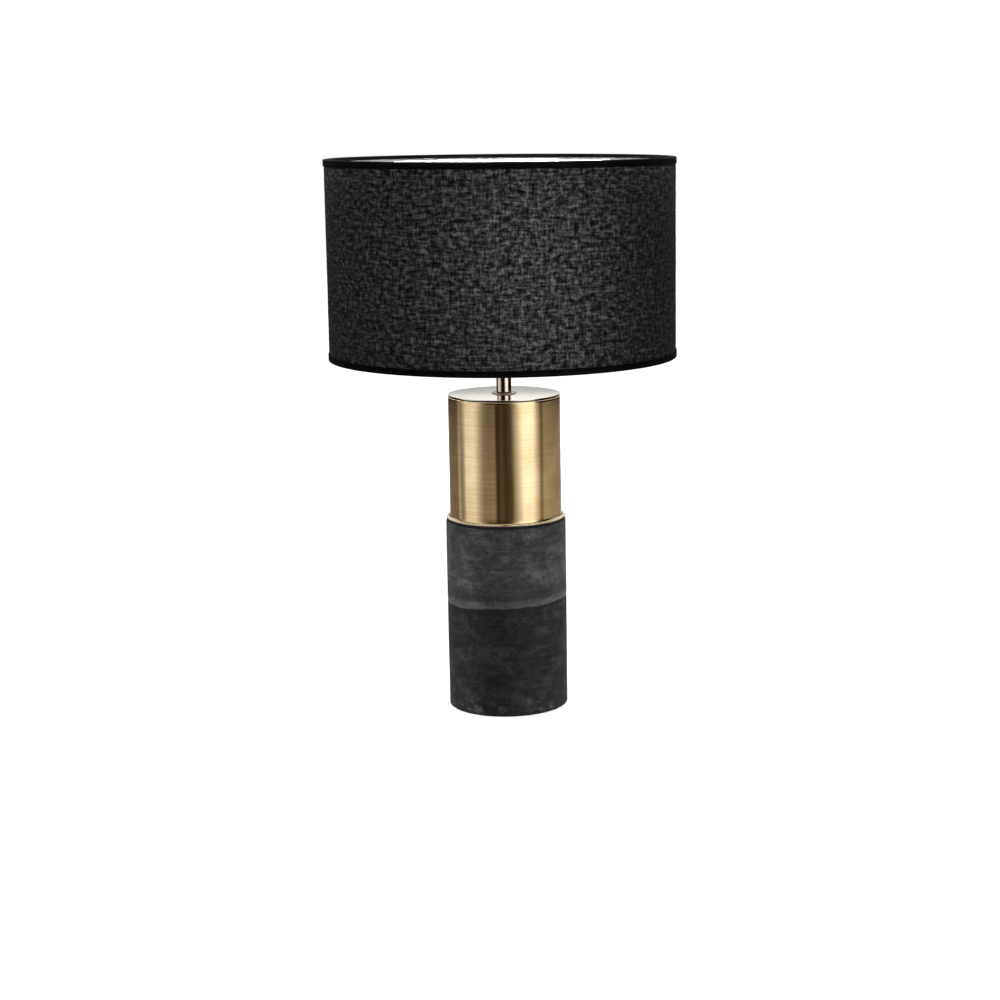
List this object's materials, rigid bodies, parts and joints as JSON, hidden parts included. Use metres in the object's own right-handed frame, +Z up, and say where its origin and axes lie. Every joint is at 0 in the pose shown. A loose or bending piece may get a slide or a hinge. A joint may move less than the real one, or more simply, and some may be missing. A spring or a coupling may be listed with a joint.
{
  "type": "table lamp with shade",
  "caption": "Table lamp with a black linen drum shade over a brushed brass cylinder on a two-pour concrete cylinder, with a screw-in bulb and a clamped shade.",
  "frame": {"origin": "centre of the felt pad's underside, on the surface that the lamp stands on", "axes": "+Z up along the lamp's axis, the cord outlet at the rear towards +Y"},
  "size_m": [0.3504, 0.3504, 0.5595],
  "materials": {
    "black_linen": "coarse matt linen weave",
    "black_binding": "smooth matt tape",
    "white_styrene": "smooth satin",
    "antique_brass": "brushed round its girth",
    "satin_brass": "turned satin",
    "dark_bronze": "polished dark patina",
    "zinc_steel": "zinc plated",
    "concrete": "cast, two pours, mottled",
    "black_felt": "matt felt",
    "black_rubber": "matt",
    "black_phenolic": "moulded satin",
    "contact_brass": "bright",
    "nickel": "nickel plated",
    "white_plastic": "moulded satin",
    "opal_plastic": "opal, satin",
    "circuit_board": "lacquered"
  },
  "bodies": {
    "base": {"felt_pad": "black_felt", "concrete_body": "concrete", "cord_grommet": "black_rubber", "bottom_plate": "zinc_steel", "lower_washer": "zinc_steel", "lower_nut": "zinc_steel", "threaded_rod": "zinc_steel", "gasket_ring": "black_rubber", "tube_centring_disc": "zinc_steel", "brass_tube": "antique_brass", "top_plate": "satin_brass", "stem_flange": "dark_bronze", "stem_tube": "dark_bronze", "holder_cap": "black_phenolic", "grub_screw": "zinc_steel", "holder_skirt": "black_phenolic", "holder_core": "black_phenolic", "terminal_screw_1": "contact_brass", "terminal_screw_2": "contact_brass", "screw_shell": "contact_brass", "centre_contact": "contact_brass"},
    "shade": {"shade_fabric": "black_linen", "shade_liner": "white_styrene", "top_trim": "black_binding", "bottom_trim": "black_binding", "top_wire_ring": "zinc_steel", "bottom_wire_ring": "zinc_steel", "fitter_ring": "zinc_steel", "fitter_arm_1": "zinc_steel", "fitter_arm_2": "zinc_steel", "fitter_arm_3": "zinc_steel"},
    "shade_ring": {"shade_ring": "black_phenolic"},
    "bulb_foot": {"cap_contact": "nickel", "cap_insulator": "black_phenolic"},
    "bulb": {"bulb_cap": "nickel", "bulb_housing": "white_plastic", "led_board": "zinc_steel", "driver_board": "circuit_board", "bulb_diffuser": "opal_plastic"}
  },
  "joints": [
    {"name": "shade_swivel", "type": "hinge", "parent": "base", "child": "shade", "pos_m": [0, 0, 0.404], "axis": [0, 0, 1], "continuous": true},
    {"name": "shade_ring_unscrew", "type": "slide", "parent": "base", "child": "shade_ring", "axis": [0, 0, 1], "range_m": [0, 0.02]},
    {"name": "bulb_rise", "type": "slide", "parent": "base", "child": "bulb_foot", "axis": [0, 0, 1], "range_m": [0, 0.01502]},
    {"name": "bulb_turn", "type": "hinge", "parent": "bulb_foot", "child": "bulb", "pos_m": [0, 0, 0.423], "axis": [0, 0, 1], "range_deg": [0, 1440]}
  ],
  "couplings": [
    {"joint": "bulb_rise", "follows": "bulb_turn", "m_per_rad": 0.00057757}
  ]
}
